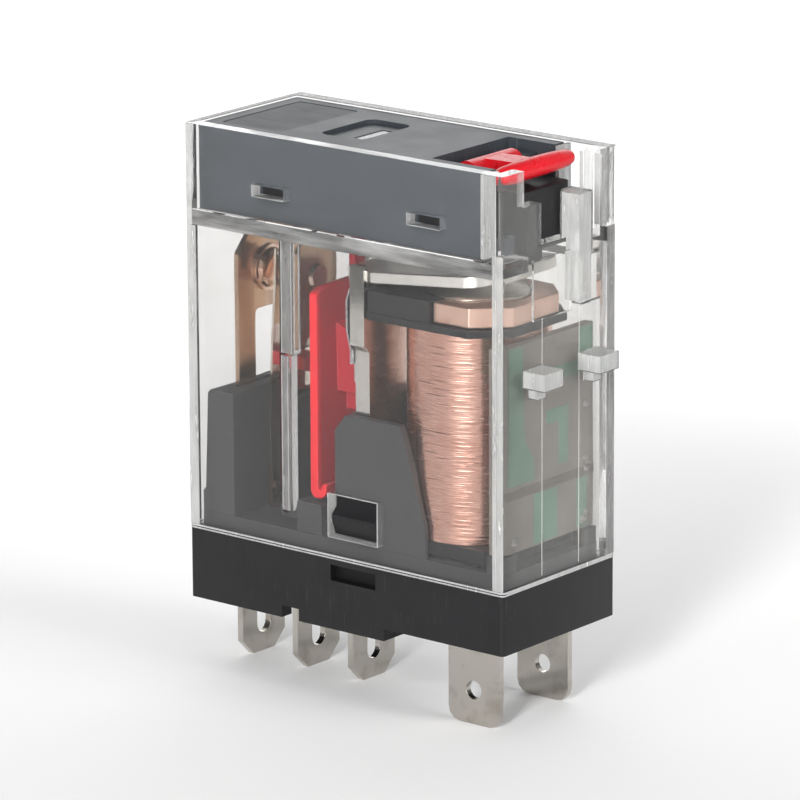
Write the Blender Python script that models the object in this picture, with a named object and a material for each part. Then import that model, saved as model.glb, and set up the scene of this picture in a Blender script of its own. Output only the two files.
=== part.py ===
"""Slim plug-in control relay with a clear cover, one changeover contact and a test lever.

Every length here is in millimetres, in the case frame. X runs from the contact end (-X) to the coil end
(+X), Y across the body and Z up from the rim under the contacts. The root empty scales the model to metres
and stands it on its blade tips, centred on its bounding box.
"""

import math

import bmesh
import bpy
from mathutils import Matrix, Vector

MM = 0.001
GAP = 0.05  # clearance between two pieces that touch or fit into each other
OVER = 0.2  # how far a cutter or a joined shape runs past the face it meets

# Case
HALF_LENGTH = 14.5
HALF_WIDTH = 6.5
CASE_TOP = 35.5
CASE_CORNER = 0.3
WALL = 1.0
CONTACT_END_WALL = 0.5
SEAM = 5.23
INNER_LENGTH = HALF_LENGTH - WALL
INNER_X = (-HALF_LENGTH + CONTACT_END_WALL, INNER_LENGTH)
INNER_WIDTH = HALF_WIDTH - WALL
CEILING_LOW = 28.0
CEILING_HIGH = 29.05
END_GAP_FAR = 3.95
END_GAP_LOW = 29.9
TONGUE_Y = (1.3, 2.9)
TONGUE_TOP = 33.1
TONGUE_REACH = 0.65
HOOK_REACH = 1.95
RIB_INNER = 4.6
RIB_X = (-6.3, -5.1)
RIB_FOOT_X = (-6.35, -5.45)
RIB_FOOT_Z = 7.7
SIDE_SLOT_CENTRES = (-6.75, 7.45)
SIDE_SLOT_HALF = 1.48
SIDE_SLOT_Z = (30.95, 31.8)

# Base
UNDERSIDE = 0.9
RIM_END = 3.7
RIM_THICK = 1.1
FLOOR = 6.5
TOWER_FOOT = 6.0  # the towers start inside the floor, so that they join it
TOWER_HALF = 5.35
LEFT_TOWER_TOP = 15.7
COIL_BAY_TOP = 16.5
LATCH_X = (-1.15, 2.85)
LATCH_Z = (7.05, 9.95)

# Blades
TIP = -5.5
BLADE_HALF = 2.4
BLADE_THICK = 0.5
BLADE_X = (-13.3, -8.02, -2.78)
BLADE_CHAMFER = 1.2
BLADE_SHOULDER = -0.1
SHANK_THICK = 0.42
SLOT_HALF = 0.75
SLOT_Z = (-3.35, -2.2)
COIL_BLADE_X = (7.8, 12.4)
COIL_BLADE_Y = 4.0
COIL_BLADE_SHOULDER = 0.8
COIL_SHANK_TOP = 3.0
COIL_TAB_X = (12.5, 13.1)
COIL_TAB_Z = (2.0, 7.7)
COIL_BLADE_HOLE_Z = -2.95
COIL_BLADE_HOLE_R = 0.7

# Contacts
CONTACT_Z = 24.0
NO_PLATE_X = (-12.4, -12.0)
NO_PLATE_HALF = 3.4
NO_PLATE_TOP = 27.1
NC_PLATE_X = (-7.9, -7.5)
NC_PLATE_TOP = 26.6
COM_POST_X = (-10.55, -10.2)
COM_POST_TOP = 9.6
LEAF_ROOT = (-9.9, 8.7)
LEAF_KINK = (-10.1, 11.8)
LEAF_TOP = (-9.45, 26.2)
LEAF_THICK = 0.2
LEAF_HALF = 2.2

# Coil and magnet
COIL_X = 7.4
COIL_RADIUS = 4.95
COIL_Z = (7.8, 23.1)
TUBE_RADIUS = 3.0
FLANGE_TOP = 23.67
HEAD_TOP = 25.25
CORE_RADIUS = 2.0
POLE_RADIUS = 3.4
POLE_Z = (23.9, 25.45)
YOKE_X = (0.0, 1.3)
YOKE_WIDE = 5.25
YOKE_NARROW = 4.65
YOKE_SHOULDER = 21.0
YOKE_TOP = 25.45
YOKE_EAR_TOP = 27.0
RIVET_Z = 18.75
RIVET_HOLE = 0.4
ARMATURE_PIVOT = (0.3, 25.75)
ARMATURE_TURN = 6.1
ARMATURE_LOW = 25.55
ARMATURE_THICK = 0.85
ARMATURE_HALF = 4.6
ARMATURE_END = 11.3
LEG_X = (-1.75, -0.95)
LEG_TIP = 19.8
LEG_HALF = 3.2

# Card
CARD_PIVOT = (-3.6, 9.6)
CARD_X = (-4.45, -3.75)
CARD_HALF = 4.45
CARD_TOP = 24.4
FINGER_Y = (0.2, 1.6)
FINGER_TOP = 34.0
FLAG_Z = (34.05, 34.3)
PUSHER_Z = (17.0, 18.0)
PUSHER_TIP = -9.66
BOSS_FACE = -1.27

# Board
BOARD_X = (12.45, 13.2)
BOARD_HALF = 5.2
BOARD_Z = (7.8, 22.8)
COMPONENT_PLACE = (11.5, 4.25)
LEAD_HALF = 0.14

# Top insert, lever and plunger
INSERT_X = (-13.9, 12.2)
INSERT_HALF = 5.4
INSERT_Z = (29.12, 35.38)
BAY_START = 6.55
BAY_HALF = 4.35
BAY_FLOOR = 30.4
FAR_WALL_SHORT = 1.5
LABEL_X = (-12.8, -7.2)
LABEL_HALF = 4.4
LABEL_DEPTH = 0.28
DISH_X = (-4.9, -1.0)
DISH_HALF = 3.0
DISH_DEPTH = 0.3
WINDOW_X = (-2.75, -1.85)
WINDOW_HALF = 1.65
NIB_REACH = (-0.85, 1.35)
NIB_Z = (31.1, 31.65)
LEVER_PIVOT = (8.3, 34.1)
LEVER_BAR_X = 12.2
LEVER_BAR_Z = 34.75
LEVER_BAR_HALF = 4.2
LEVER_HUB_HALF = 2.6
CHEEK_X = (7.5, 9.1)
CHEEK_TOP = 34.6
PIN_RADIUS = 0.45
PLUNGER_X = (9.9, 13.35)
PLUNGER_HALF = 2.7
PLUNGER_Z = (29.3, 33.5)
PLUNGER_GAP = 0.12
PLUNGER_STEM_X = (10.0, 11.4)
PLUNGER_STEM_LOW = 27.65


def clear_scene():
    for obj in list(bpy.data.objects):
        bpy.data.objects.remove(obj)


def mesh_object(name, points, faces):
    mesh = bpy.data.meshes.new(name)
    mesh.from_pydata(points, [], faces)
    shape = bmesh.new()
    shape.from_mesh(mesh)
    bmesh.ops.recalc_face_normals(shape, faces=shape.faces)
    shape.to_mesh(mesh)
    shape.free()
    obj = bpy.data.objects.new(name, mesh)
    bpy.context.scene.collection.objects.link(obj)
    return obj


def placed(axis, a, b, along):
    """The point whose place along the axis is given, with a and b on the other two axes in X, Y, Z order."""
    if axis == "X":
        return (along, a, b)
    if axis == "Y":
        return (a, along, b)
    return (a, b, along)


def prism(axis, outline, low, high, name="prism"):
    """An outline extruded along an axis. Its points are on the other two axes, in X, Y, Z order."""
    count = len(outline)
    points = [placed(axis, a, b, low) for a, b in outline]
    points += [placed(axis, a, b, high) for a, b in outline]
    sides = [(i, (i + 1) % count, (i + 1) % count + count, i + count) for i in range(count)]
    ends = [tuple(range(count)), tuple(range(count, 2 * count))]
    return mesh_object(name, points, sides + ends)


def box(x, y, z, name="box"):
    corners = [(x[0], y[0]), (x[1], y[0]), (x[1], y[1]), (x[0], y[1])]
    return prism("Z", corners, z[0], z[1], name)


def rounded(a, b, radius, steps=3):
    """A rectangle's outline with its corners rounded, or cut straight where steps is 1."""
    centres = [
        (a[1] - radius, b[1] - radius, 0),
        (a[0] + radius, b[1] - radius, 1),
        (a[0] + radius, b[0] + radius, 2),
        (a[1] - radius, b[0] + radius, 3),
    ]
    outline = []
    for centre_a, centre_b, quarter in centres:
        for step in range(steps + 1):
            angle = math.pi / 2 * (quarter + step / steps)
            outline.append((centre_a + radius * math.cos(angle), centre_b + radius * math.sin(angle)))
    return outline


def disc(a, b, radius, segments=32, stretch=1.0):
    turns = [2 * math.pi * i / segments for i in range(segments)]
    return [(a + radius * math.cos(turn), b + radius * stretch * math.sin(turn)) for turn in turns]


def turned(axis, centre, profile, segments=24, name="turned"):
    """A solid of revolution. Its profile is (place along the axis, radius) pairs from end to end."""
    points = []
    for along, radius in profile:
        points += [placed(axis, a, b, along) for a, b in disc(centre[0], centre[1], radius, segments)]
    faces = [tuple(range(segments)), tuple(range(len(points) - segments, len(points)))]
    for ring in range(len(profile) - 1):
        start = ring * segments
        for i in range(segments):
            following = (i + 1) % segments
            faces.append((start + i, start + following, start + following + segments, start + i + segments))
    return mesh_object(name, points, faces)


def combine(target, tools, operation):
    """Cuts the tools from the target, or joins them to it, and removes them."""
    for tool in tools:
        modifier = target.modifiers.new("shape", "BOOLEAN")
        modifier.solver = "EXACT"
        modifier.operation = operation
        modifier.object = tool
        graph = bpy.context.evaluated_depsgraph_get()
        shaped = bpy.data.meshes.new_from_object(target.evaluated_get(graph))
        target.modifiers.clear()
        target.data = shaped
        bpy.data.objects.remove(tool)
    return target


def cut(target, *tools):
    return combine(target, tools, "DIFFERENCE")


def join(target, *tools):
    return combine(target, tools, "UNION")


def both_sides(low, high):
    """The two ranges across the body that mirror each other."""
    return [(low, high), (-high, -low)]


def grown(span, by=GAP):
    return (span[0] - by, span[1] + by)


def sides(half):
    return (-half, half)


def tilt(obj, pivot, degrees):
    """Turns a shape about the line through the pivot along Y."""
    centre = Vector((pivot[0], 0, pivot[1]))
    turn = Matrix.Translation(centre) @ Matrix.Rotation(math.radians(degrees), 4, "Y")
    obj.data.transform(turn @ Matrix.Translation(-centre))
    return obj


def soften(obj, width, segments=2):
    bevel = obj.modifiers.new("soft edges", "BEVEL")
    bevel.width = width
    bevel.segments = segments
    bevel.limit_method = "ANGLE"
    bevel.angle_limit = math.radians(50)
    bevel.use_clamp_overlap = True
    return obj


def material(name, colour, roughness, metallic=0.0, alpha=1.0, transmission=0.0):
    made = bpy.data.materials.new(name)
    made.use_nodes = True
    shader = made.node_tree.nodes["Principled BSDF"]
    shader.inputs["Base Color"].default_value = (*colour, 1.0)
    shader.inputs["Roughness"].default_value = roughness
    shader.inputs["Metallic"].default_value = metallic
    shader.inputs["Alpha"].default_value = alpha
    shader.inputs["Transmission Weight"].default_value = transmission
    return made


def finish(obj, name, look, parent, smooth_below=None):
    """Names a piece, gives it its material and hangs it on its body's empty without moving it."""
    obj.name = name
    obj.data.name = name
    obj.data.materials.clear()
    obj.data.materials.append(look)
    if smooth_below:
        obj.data.shade_smooth()
        obj.data.set_sharp_from_angle(angle=math.radians(smooth_below))
    obj.parent = parent
    obj.location = -parent.location if parent.parent else Vector((0, 0, 0))


def body_empty(name, root, pivot=None):
    empty = bpy.data.objects.new(name, None)
    bpy.context.scene.collection.objects.link(empty)
    empty.parent = root
    if pivot:
        empty.location = (pivot[0], 0, pivot[1])
    return empty


def shank_x(index):
    return (BLADE_X[index] - SHANK_THICK / 2, BLADE_X[index] + SHANK_THICK / 2)


# Inside the base each contact terminal runs up from its blade, along, and up again.
# A run is a range of X and one of Z.
NO_RUNS = [
    (shank_x(0), (BLADE_SHOULDER, 3.1)),
    ((shank_x(0)[0], NO_PLATE_X[1]), (2.6, 3.1)),
    (NO_PLATE_X, (2.6, 5.6)),
]
COM_RUNS = [
    (shank_x(1), (BLADE_SHOULDER, 2.4)),
    ((COM_POST_X[0], shank_x(1)[1]), (1.9, 2.4)),
    (COM_POST_X, (1.9, 5.6)),
]
NC_RUNS = [
    (shank_x(2), (BLADE_SHOULDER, 4.4)),
    ((NC_PLATE_X[0], shank_x(2)[1]), (3.9, 4.4)),
    (NC_PLATE_X, (3.9, 5.6)),
]


def terminal_cutters(runs):
    return [box(grown(x), sides(BLADE_HALF + GAP), (z[0] - OVER, z[1] + GAP)) for x, z in runs]


def latch_wedge(side):
    outline = [
        (5.2, LATCH_Z[0]),
        (5.95, LATCH_Z[0]),
        (6.35, 8.15),
        (6.35, 8.55),
        (5.8, 9.1),
        (5.6, LATCH_Z[1]),
        (5.2, LATCH_Z[1]),
    ]
    return prism("X", [(side * y, z) for y, z in outline], LATCH_X[0], LATCH_X[1])


def central_tower(y):
    outline = [
        (-1.4, TOWER_FOOT),
        (-1.4, 14.6),
        (-0.4, 15.87),
        (4.6, 15.87),
        (6.85, 8.7),
        (6.85, TOWER_FOOT),
    ]
    return prism("Y", outline, y[0], y[1])


def left_tower():
    outline = [
        (-13.85, TOWER_FOOT),
        (-13.85, 8.0),
        (-13.6, 8.25),
        (-13.3, LEFT_TOWER_TOP - 0.3),
        (-13.05, LEFT_TOWER_TOP),
        (-10.9, LEFT_TOWER_TOP),
        (-10.9, TOWER_FOOT),
    ]
    return prism("Y", outline, -TOWER_HALF, TOWER_HALF)


def coil_blade_outline():
    """The flat outline of a coil blade, with rounded tips."""
    low, high = COIL_BLADE_X
    corner = 1.0
    outline = []
    for centre, start in ((low + corner, 180), (high - corner, 270)):
        for step in range(4):
            angle = math.radians(start + 30 * step)
            outline.append((centre + corner * math.cos(angle), TIP + corner + corner * math.sin(angle)))
    return outline + [(high, COIL_BLADE_SHOULDER), (low, COIL_BLADE_SHOULDER)]


def coil_shank_outline(gap=0.0, low=COIL_BLADE_SHOULDER - OVER, top=COIL_TAB_Z[1]):
    """The part of a coil terminal inside the base, and its tab that rises to the board."""
    left, right = COIL_BLADE_X
    return [
        (left - gap, low),
        (right + gap, low),
        (right + gap, COIL_TAB_Z[0] - gap),
        (COIL_TAB_X[1] + gap, COIL_TAB_Z[0] - gap),
        (COIL_TAB_X[1] + gap, top),
        (COIL_TAB_X[0] - gap, top),
        (COIL_TAB_X[0] - gap, COIL_SHANK_TOP + gap),
        (left - gap, COIL_SHANK_TOP + gap),
    ]


def make_base():
    base = prism("Z", rounded(sides(HALF_LENGTH), sides(HALF_WIDTH), CASE_CORNER), 0, SEAM)
    plug_gap = 0.08
    plug = rounded(grown(INNER_X, -plug_gap), sides(INNER_WIDTH - plug_gap), 0.2)
    join(base, prism("Z", plug, SEAM - OVER, FLOOR), left_tower())
    join(base, box((-8.4, -6.75), sides(3.0), (TOWER_FOOT, 15.6)))
    for y in both_sides(1.2, 5.3):
        join(base, box((-5.0, -2.75), y, (TOWER_FOOT, 8.75)))
    for y in both_sides(3.3, TOWER_HALF):
        join(base, central_tower(y))
    join(base, box((-1.4, -0.35), sides(3.5), (TOWER_FOOT, 13.0)))
    for y in both_sides(3.9, 5.3):
        join(base, box((12.3, 13.35), y, (TOWER_FOOT, 7.7)))
    join(base, latch_wedge(1), latch_wedge(-1))

    cut(base, box((RIM_END, HALF_LENGTH + OVER), sides(HALF_WIDTH + OVER), (-OVER, UNDERSIDE)))
    inside_rim = (-HALF_LENGTH + RIM_THICK, RIM_END - RIM_THICK)
    cut(base, box(inside_rim, sides(HALF_WIDTH - RIM_THICK), (-OVER, UNDERSIDE)))
    near_rim = (-HALF_WIDTH - OVER, -HALF_WIDTH + RIM_THICK + OVER)
    cut(base, box((-5.8, -4.2), near_rim, (-OVER, UNDERSIDE)))
    for y in both_sides(5.9, HALF_WIDTH + OVER):
        cut(base, box((-1.2, 2.95), y, (3.65, SEAM - 0.4)))

    cut(base, box((YOKE_X[0] - GAP, 11.6), sides(YOKE_NARROW + GAP), (5.4, COIL_BAY_TOP)))
    cut(base, prism("Z", disc(COIL_X, 0, COIL_RADIUS + 0.1, 40), FLOOR, COIL_BAY_TOP))
    cut(base, box((1.3, 12.25), sides(4.85), (FLOOR + 0.05, 8.0)))

    for runs in (NO_RUNS, COM_RUNS, NC_RUNS):
        cut(base, *terminal_cutters(runs))
    cut(base, box(grown(NO_PLATE_X), sides(NO_PLATE_HALF + GAP), (5.3, 16.0)))
    cut(base, box(grown(COM_POST_X), sides(1.8 + GAP), (5.3, 7.0)))
    cut(base, box(grown(NC_PLATE_X), sides(BLADE_HALF + GAP), (5.3, 16.0)))
    slot_half = BLADE_THICK / 2 + GAP
    for y in both_sides(COIL_BLADE_Y - slot_half, COIL_BLADE_Y + slot_half):
        cut(base, prism("Y", coil_shank_outline(GAP, TIP, 8.0), y[0], y[1]))
    return base


def blade_slot(x):
    """Cutter for the long hole in a contact blade."""
    upper = disc(0, SLOT_Z[1], SLOT_HALF, 16)[:9]
    lower = disc(0, SLOT_Z[0], SLOT_HALF, 16)[8:] + disc(0, SLOT_Z[0], SLOT_HALF, 16)[:1]
    return prism("X", upper + lower, x[0] - OVER, x[1] + OVER)


def terminal_foot(index, runs):
    """The blade of a contact terminal, and its thinner run inside the base."""
    outline = [
        (-BLADE_HALF, TIP + BLADE_CHAMFER),
        (-BLADE_HALF + BLADE_CHAMFER, TIP),
        (BLADE_HALF - BLADE_CHAMFER, TIP),
        (BLADE_HALF, TIP + BLADE_CHAMFER),
        (BLADE_HALF, BLADE_SHOULDER),
        (-BLADE_HALF, BLADE_SHOULDER),
    ]
    x = (BLADE_X[index] - BLADE_THICK / 2, BLADE_X[index] + BLADE_THICK / 2)
    foot = prism("X", outline, *x)
    first_x, first_z = runs[0]
    join(foot, box(first_x, sides(BLADE_HALF), (first_z[0] - OVER, first_z[1])))
    for run_x, run_z in runs[1:]:
        join(foot, box(run_x, sides(BLADE_HALF), run_z))
    return cut(foot, blade_slot(x))


def make_terminal_no():
    terminal = terminal_foot(0, NO_RUNS)
    slope = 1.3
    outline = [
        (-NO_PLATE_HALF, 5.4),
        (NO_PLATE_HALF, 5.4),
        (NO_PLATE_HALF, NO_PLATE_TOP - slope * 1.2),
        (NO_PLATE_HALF - slope, NO_PLATE_TOP),
        (-NO_PLATE_HALF + slope, NO_PLATE_TOP),
        (-NO_PLATE_HALF, NO_PLATE_TOP - slope * 1.2),
    ]
    join(terminal, prism("X", outline, NO_PLATE_X[0], NO_PLATE_X[1]))
    x = grown(NO_PLATE_X, OVER)
    cut(terminal, prism("X", rounded(sides(1.5), (14.2, 21.1), 0.35, 2), x[0], x[1]))
    return cut(terminal, prism("X", disc(0, CONTACT_Z, 0.78, 16), x[0], x[1]))


def make_terminal_com():
    terminal = terminal_foot(1, COM_RUNS)
    join(terminal, box(COM_POST_X, sides(1.8), (5.4, COM_POST_TOP)))
    return join(terminal, box((COM_POST_X[0], LEAF_ROOT[0] + 0.1), sides(1.8), (8.0, LEAF_ROOT[1] - 0.15)))


def make_terminal_nc():
    terminal = terminal_foot(2, NC_RUNS)
    join(terminal, prism("X", rounded(sides(BLADE_HALF), (5.4, NC_PLATE_TOP), 0.5, 1), *NC_PLATE_X))
    x = grown(NC_PLATE_X, OVER)
    cut(terminal, prism("X", rounded(sides(1.3), (15.9, 19.6), 0.3, 2), x[0], x[1]))
    return cut(terminal, prism("X", disc(0, CONTACT_Z, 0.68, 16), x[0], x[1]))


def make_coil_terminal(side):
    y = (side * COIL_BLADE_Y - BLADE_THICK / 2, side * COIL_BLADE_Y + BLADE_THICK / 2)
    shank_y = (side * COIL_BLADE_Y - SHANK_THICK / 2, side * COIL_BLADE_Y + SHANK_THICK / 2)
    terminal = prism("Y", coil_blade_outline(), *y)
    join(terminal, prism("Y", coil_shank_outline(), *shank_y))
    centre = sum(COIL_BLADE_X) / 2
    hole = disc(centre, COIL_BLADE_HOLE_Z, COIL_BLADE_HOLE_R, 20)
    return cut(terminal, prism("Y", hole, y[0] - OVER, y[1] + OVER))


def make_contact_no():
    front, back = NO_PLATE_X[1], NO_PLATE_X[0]
    profile = [
        (back - 0.45, 0.8),
        (back - 0.35, 1.1),
        (back - 0.03, 1.1),
        (back - 0.03, 0.7),
        (front + 0.03, 0.7),
        (front + 0.03, 1.72),
        (front + 0.24, 1.72),
        (front + 0.26, 1.5),
        (front + 0.6, 1.42),
        (front + 0.7, 1.2),
    ]
    return turned("X", (0, CONTACT_Z), profile, 28)


def make_contact_nc():
    front, back = NC_PLATE_X
    profile = [
        (front - 0.8, 1.05),
        (front - 0.7, 1.35),
        (front - 0.03, 1.4),
        (front - 0.03, 0.6),
        (back + 0.03, 0.6),
        (back + 0.03, 1.0),
        (back + 0.35, 0.85),
    ]
    return turned("X", (0, CONTACT_Z), profile, 24)


def leaf_x(z):
    """X of the leaf's middle at a height above its kink."""
    share = (z - LEAF_KINK[1]) / (LEAF_TOP[1] - LEAF_KINK[1])
    return LEAF_KINK[0] + share * (LEAF_TOP[0] - LEAF_KINK[0])


def make_moving_spring():
    half = LEAF_THICK / 2
    line = [LEAF_ROOT, LEAF_KINK, LEAF_TOP]
    outline = [(x - half, z) for x, z in line] + [(x + half, z) for x, z in reversed(line)]
    leaf = prism("Y", outline, -LEAF_HALF, LEAF_HALF)
    x = leaf_x(CONTACT_Z)
    cut(leaf, prism("X", disc(0, CONTACT_Z, 0.62, 16), x - 0.5, x + 0.5))
    above = LEAF_TOP[1] + 0.4
    for y in both_sides(1.3, LEAF_HALF + OVER):
        notch = [(y[0], above), (y[1], above), ((y[0] + y[1]) / 2, LEAF_TOP[1] - 0.9)]
        cut(leaf, prism("X", notch, x - 0.6, x + 0.9))
    return leaf


def make_moving_contact():
    x = leaf_x(CONTACT_Z)
    clear = LEAF_THICK / 2 + 0.09
    profile = [
        (-10.53, 0.5),
        (-10.48, 1.05),
        (-10.32, 1.45),
        (x - clear, 1.5),
        (x - clear, 0.52),
        (x + clear, 0.52),
        (x + clear, 1.3),
        (-8.88, 1.25),
        (-8.76, 0.85),
    ]
    return turned("X", (0, CONTACT_Z), profile, 28)


def make_bobbin():
    corner = 1.9
    flange_x = (1.45, 12.35)
    flange = [
        (flange_x[0], -5.1),
        (flange_x[1] - corner, -5.1),
        (flange_x[1], -5.1 + corner),
        (flange_x[1], 5.1 - corner),
        (flange_x[1] - corner, 5.1),
        (flange_x[0], 5.1),
    ]
    bobbin = prism("Z", flange, COIL_Z[1] + GAP, FLANGE_TOP)
    join(bobbin, box((1.45, 7.0), sides(5.0), (FLANGE_TOP - OVER, HEAD_TOP)))
    join(bobbin, prism("Z", disc(COIL_X, 0, TUBE_RADIUS), 7.0, FLANGE_TOP - OVER))
    join(bobbin, prism("Z", rounded((1.45, 12.2), sides(4.75), 0.5, 1), 6.75, COIL_Z[0] - GAP))
    cut(bobbin, prism("Z", disc(COIL_X, 0, POLE_RADIUS + 0.1), POLE_Z[0] - 0.06, 26))
    cut(bobbin, prism("Z", disc(COIL_X, 0, CORE_RADIUS + 0.06), 6.0, 26))
    # Thinned between the yoke and the pole, so that the head block isn't one solid lump.
    return cut(bobbin, box((1.0, 2.6), sides(3.6), (24.2, 25.6)))


def make_coil():
    inner = prism("Z", disc(COIL_X, 0, TUBE_RADIUS + GAP, 48), COIL_Z[0] - OVER, COIL_Z[1] + OVER)
    return cut(prism("Z", disc(COIL_X, 0, COIL_RADIUS, 64), *COIL_Z), inner)


def make_core():
    profile = [
        (5.5, 1.4),
        (6.65, 1.4),
        (6.65, CORE_RADIUS),
        (POLE_Z[0], CORE_RADIUS),
        (POLE_Z[0], POLE_RADIUS),
        (POLE_Z[1] - 0.15, POLE_RADIUS),
        (POLE_Z[1], POLE_RADIUS - 0.15),
    ]
    return turned("Z", (COIL_X, 0), profile, 32)


def make_shading_ring():
    start, end, half, corner = 7.1, 12.05, 4.6, 1.8
    outline = [
        (start, -half),
        (end - corner, -half),
        (end, -half + corner),
        (end, half - corner),
        (end - corner, half),
        (start, half),
    ]
    ring = prism("Z", outline, 23.72, 25.2)
    return cut(ring, prism("Z", disc(COIL_X, 0, POLE_RADIUS + 0.12), 23, 26))


def rivet_hole():
    """Cutter for the hole that the rivet fills, through the return spring and into the yoke."""
    return prism("X", disc(0, RIVET_Z, RIVET_HOLE, 12), -1, 0.9)


def make_yoke():
    ear = YOKE_WIDE - 0.45
    half_outline = [
        (YOKE_NARROW, 5.45),
        (YOKE_NARROW, YOKE_SHOULDER - 0.4),
        (YOKE_NARROW + 0.2, YOKE_SHOULDER - 0.1),
        (YOKE_WIDE, YOKE_SHOULDER + 0.1),
        (YOKE_WIDE, YOKE_EAR_TOP - 0.3),
        (YOKE_WIDE - 0.15, YOKE_EAR_TOP),
        (ear, YOKE_EAR_TOP),
        (ear, YOKE_TOP),
    ]
    outline = half_outline + [(-y, z) for y, z in reversed(half_outline)]
    yoke = prism("X", outline, YOKE_X[0], YOKE_X[1])
    join(yoke, prism("Z", rounded((YOKE_X[0], 11.4), sides(YOKE_NARROW), 0.6, 1), 5.45, 6.6))
    cut(yoke, prism("Z", disc(COIL_X, 0, 1.46, 24), 5, 7))
    return cut(yoke, rivet_hole())


def make_armature():
    top = ARMATURE_LOW + ARMATURE_THICK
    arm = prism("Z", rounded((LEG_X[0], ARMATURE_END), sides(ARMATURE_HALF), 1.6, 3), ARMATURE_LOW, top)
    join(arm, box(LEG_X, sides(LEG_HALF), (LEG_TIP, top)))
    for y in both_sides(LEG_HALF, ARMATURE_HALF + OVER):
        cut(arm, box((LEG_X[0] - OVER, 0.0), y, (LEG_TIP, top + OVER)))
    return tilt(arm, ARMATURE_PIVOT, -ARMATURE_TURN)


def make_return_spring():
    line = [(-0.14, 18.2), (-0.14, 20.6), (-0.48, 22.0), (-0.5, 24.2), (-0.2, 25.1)]
    half = 0.08
    outline = [(x - half, z) for x, z in line] + [(x + half, z) for x, z in reversed(line)]
    spring = prism("Y", outline, -5.0, 5.0)
    cut(spring, box((-1, 0.5), sides(LEG_HALF + 0.3), (19.4, 25.5)))
    for y in both_sides(4.5, 5.2):
        cut(spring, box((-1, 0.5), y, (18.0, 19.6)))
    return cut(spring, rivet_hole())


def make_spring_rivet():
    shank = RIVET_HOLE - 0.07
    profile = [(-0.62, 0.4), (-0.5, 0.7), (-0.25, 0.75), (-0.25, shank), (0.85, shank)]
    return turned("X", (0, RIVET_Z), profile, 16)


def make_card():
    left, right = CARD_X
    foot_low = CARD_PIVOT[1] - 0.7
    foot = [
        (left, foot_low + 1.6),
        (left, foot_low + 0.4),
        (left + 0.3, foot_low),
        (-3.5, foot_low),
        (-3.05, foot_low + 0.35),
        (-2.95, foot_low + 1.15),
        (-3.35, foot_low + 1.15),
        (-3.5, foot_low + 0.65),
        (right, foot_low + 0.7),
        (right, foot_low + 1.6),
    ]
    card = prism("Y", foot, -CARD_HALF, CARD_HALF)
    plate = [
        (-CARD_HALF, foot_low + 1.4),
        (CARD_HALF, foot_low + 1.4),
        (CARD_HALF, CARD_TOP - 0.4),
        (CARD_HALF - 0.8, CARD_TOP),
        (-CARD_HALF + 0.8, CARD_TOP),
        (-CARD_HALF, CARD_TOP - 0.4),
    ]
    join(card, prism("X", plate, left, right))
    join(card, box((left + 0.1, right), FINGER_Y, (CARD_TOP - 0.5, FINGER_TOP)))
    join(card, box((PUSHER_TIP, left + OVER), sides(0.95), PUSHER_Z))
    root = right - OVER
    gusset = [(root, 16.45), (-1.7, 16.45), (BOSS_FACE, 18.6), (BOSS_FACE, 20.7), (root, 21.6)]
    join(card, prism("Y", gusset, -2.15, 2.15))
    return join(card, box((root, -2.1), sides(1.1), (14.9, 16.6)))


def make_flag():
    return prism("Z", rounded((-4.5, -1.3), sides(1.95), 0.4, 2), *FLAG_Z)


def rib_pair(cover):
    """A rib down each side wall, joined under the ceiling by a web between the contacts and the card."""
    left, right = RIB_FOOT_X
    foot = [
        (left, 20.0),
        (right, 20.0),
        (right, RIB_FOOT_Z + 0.9),
        (right - 0.25, RIB_FOOT_Z),
        (left + 0.25, RIB_FOOT_Z),
        (left, RIB_FOOT_Z + 0.9),
    ]
    for y in both_sides(RIB_INNER, INNER_WIDTH + OVER):
        join(cover, box(RIB_X, y, (19.5, CEILING_LOW + OVER)))
        join(cover, prism("Y", foot, y[0], y[1]))
    join(cover, box((-5.95, -5.45), sides(RIB_INNER + OVER), (19.7, CEILING_LOW + OVER)))


def end_wall_openings(cover):
    """The coil end of the tray is cut away in steps round the plunger, and leaves a post at each side."""
    x = (INNER_LENGTH - 0.4, HALF_LENGTH + OVER)
    for y, z in (((-4.1, -2.1), 32.9), ((-2.15, END_GAP_FAR), END_GAP_LOW)):
        cut(cover, box(x, y, (z, CASE_TOP + OVER)))
    # A shallow pocket in the outer face, beside the tongue's foot.
    cut(cover, box((HALF_LENGTH - 0.3, x[1]), (-3.0, TONGUE_Y[0]), (24.5, 28.9)))


def tongue(cover):
    """A thick upright tongue in the end opening, on a foot that stands out from the end wall."""
    x = (INNER_LENGTH, HALF_LENGTH + TONGUE_REACH)
    outline = rounded(TONGUE_Y, (24.95, TONGUE_TOP), 0.35, 3)
    join(cover, prism("X", outline, *x))
    join(cover, box((HALF_LENGTH - OVER, x[1]), (TONGUE_Y[0] + 0.2, 3.9), (25.0, 28.4)))


def hooks(cover):
    reach = HALF_LENGTH + HOOK_REACH
    for y in both_sides(2.1, 4.3):
        join(cover, box((HALF_LENGTH - OVER, reach), y, (20.0, 21.3)))
        middle = (y[0] + y[1]) / 2
        web = (middle - 0.5, middle + 0.5)
        join(cover, box((HALF_LENGTH - OVER, HALF_LENGTH + 0.9), web, (19.15, 20.1)))


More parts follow.
